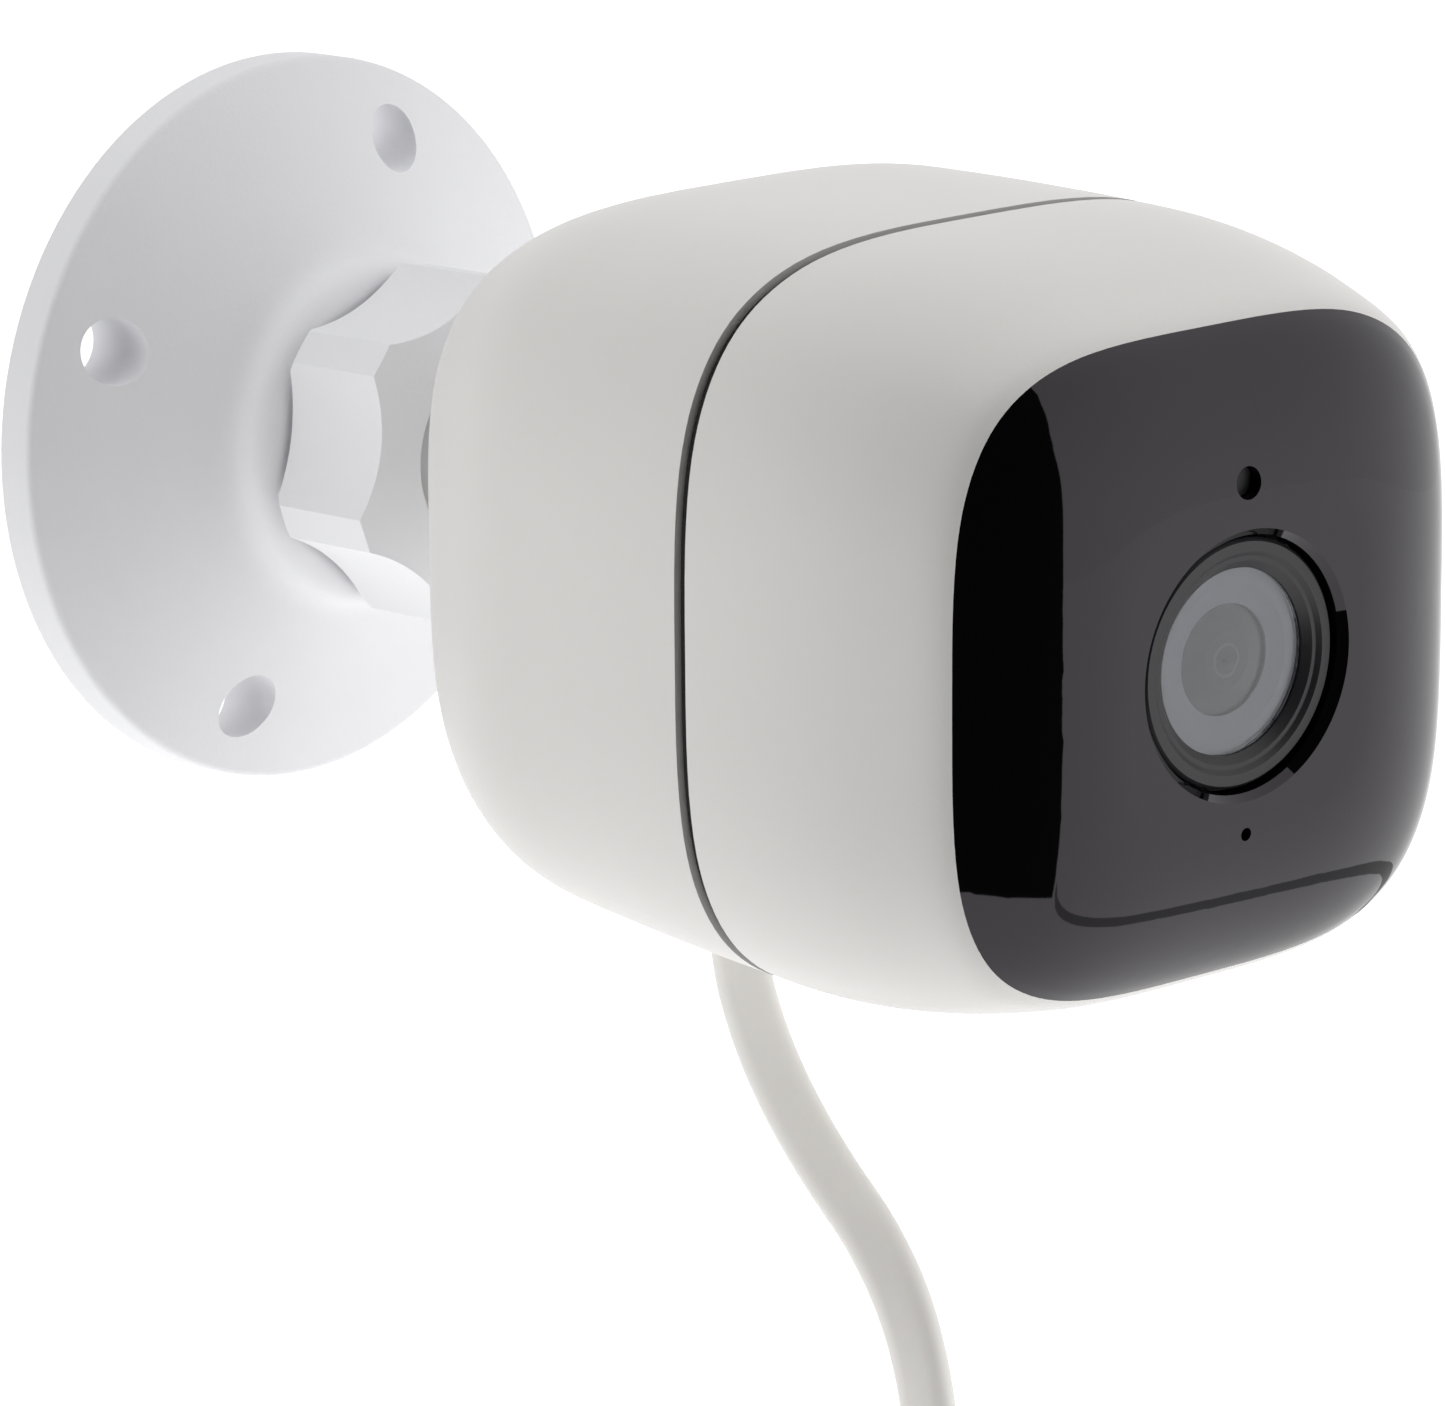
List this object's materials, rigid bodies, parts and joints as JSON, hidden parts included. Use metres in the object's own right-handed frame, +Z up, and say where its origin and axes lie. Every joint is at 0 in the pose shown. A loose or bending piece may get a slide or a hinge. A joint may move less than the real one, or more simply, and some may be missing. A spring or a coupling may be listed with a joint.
{
  "type": "security camera",
  "caption": "Wall-mounted camera with a soft square white head on a ball joint, a round screw plate, a gloss black lens face and a white power lead with a USB plug.",
  "frame": {"origin": "centre of the wall plate's back face, on the wall", "axes": "+Z up, -Y straight out from the wall, +X to the right of someone who faces the wall; at rest the head looks out along -Y, turned 6.7 degrees to -X and 1.5 degrees down"},
  "size_m": [0.082, 0.1325, 0.2197],
  "materials": {
    "case_white": "fine matte moulded ASA",
    "mount_white": "fine matte moulded polycarbonate",
    "gloss_black": "polished, infrared-clear acrylic",
    "dark_rubber": "matte",
    "grey_rubber": "matte",
    "white_rubber": "matte",
    "lead_white": "satin soft PVC jacket",
    "barrel_black": "black anodised, satin",
    "lens_glass": "coated optical glass",
    "clear_plastic": "clear moulded",
    "steel": "zinc plated",
    "nickel": "bright nickel plate",
    "brass": "turned",
    "circuit_board": "solder mask",
    "chip_black": "moulded epoxy",
    "black_plastic": "moulded",
    "tie_black": "hook and loop",
    "tape_black": "foam tape"
  },
  "bodies": {
    "wall_mount": {"wall_plate": "mount_white"},
    "clamp": {"clamp_ring": "mount_white"},
    "nut": {"lock_nut": "mount_white"},
    "pad": {"ball_pad": "dark_rubber"},
    "ball": {"ball": "mount_white", "ball_stud": "steel"},
    "head": {"stud_insert": "brass", "rear_shell": "case_white", "front_shell": "case_white", "cover_pin": "steel", "seam_gasket": "dark_rubber", "front_panel": "gloss_black", "panel_tape": "tape_black", "lens_barrel": "barrel_black", "lens_front_glass": "lens_glass", "lens_spacer_ring": "barrel_black", "lens_inner_glass": "lens_glass", "lens_rear_glass": "lens_glass", "lens_holder": "black_plastic", "ir_cut_filter": "lens_glass", "image_sensor": "chip_black", "main_processor": "chip_black", "wifi_module": "steel", "board_connector": "black_plastic", "power_inductor": "chip_black", "lead_socket": "clear_plastic", "wifi_antenna": "circuit_board", "main_board": "circuit_board", "board_screws": "steel", "power_board": "circuit_board", "board_spacers": "brass", "sensor_board": "circuit_board", "ir_leds": "clear_plastic", "status_led": "clear_plastic", "light_sensor": "chip_black", "microphone": "steel", "light_pipe": "clear_plastic", "mic_seal": "dark_rubber", "card_slot": "steel", "memory_card": "black_plastic", "shell_screws": "steel", "speaker_frame": "black_plastic", "speaker_cone": "black_plastic", "reset_switch": "black_plastic", "cable_gland": "white_rubber", "power_lead": "lead_white", "lead_coil": "lead_white", "coil_ties": "tie_black", "lead_tail": "lead_white", "plug_body": "lead_white", "plug_shell": "nickel", "plug_tongue": "black_plastic", "lead_wires": "lead_white"},
    "cover": {"service_cover": "white_rubber"},
    "reset": {"reset_button": "grey_rubber"}
  },
  "joints": [
    {"name": "clamp_slide", "type": "slide", "parent": "wall_mount", "child": "clamp", "axis": [0, -1, 0], "range_m": [0, 0.002]},
    {"name": "nut_turn", "type": "hinge", "parent": "clamp", "child": "nut", "pos_m": [0, -0.022, 0], "axis": [0, -1, 0], "range_deg": [0, 360]},
    {"name": "head_pan", "type": "hinge", "parent": "wall_mount", "child": "pad", "pos_m": [0, -0.025, 0], "axis": [0, 0, 1], "range_deg": [-18.3, 31.7]},
    {"name": "head_tilt", "type": "hinge", "parent": "pad", "child": "ball", "pos_m": [0, -0.025, 0], "axis": [0.9932, -0.1167, 0], "range_deg": [-21.5, 18.5]},
    {"name": "head_roll", "type": "hinge", "parent": "ball", "child": "head", "pos_m": [0, -0.025, 0], "axis": [-0.1166, -0.9928, -0.0262], "range_deg": [-45, 45]},
    {"name": "cover_swing", "type": "hinge", "parent": "head", "child": "cover", "pos_m": [-0.00707, -0.08514, -0.0332], "axis": [0.9932, -0.1167, 0], "range_deg": [-95, 0]},
    {"name": "reset_press", "type": "slide", "parent": "head", "child": "reset", "axis": [-0.0031, -0.026, 0.9997], "range_m": [0, 0.0008], "stiffness_N_per_m": 800}
  ],
  "couplings": [
    {"joint": "clamp_slide", "follows": "nut_turn", "m_per_rad": 0.00031831}
  ]
}
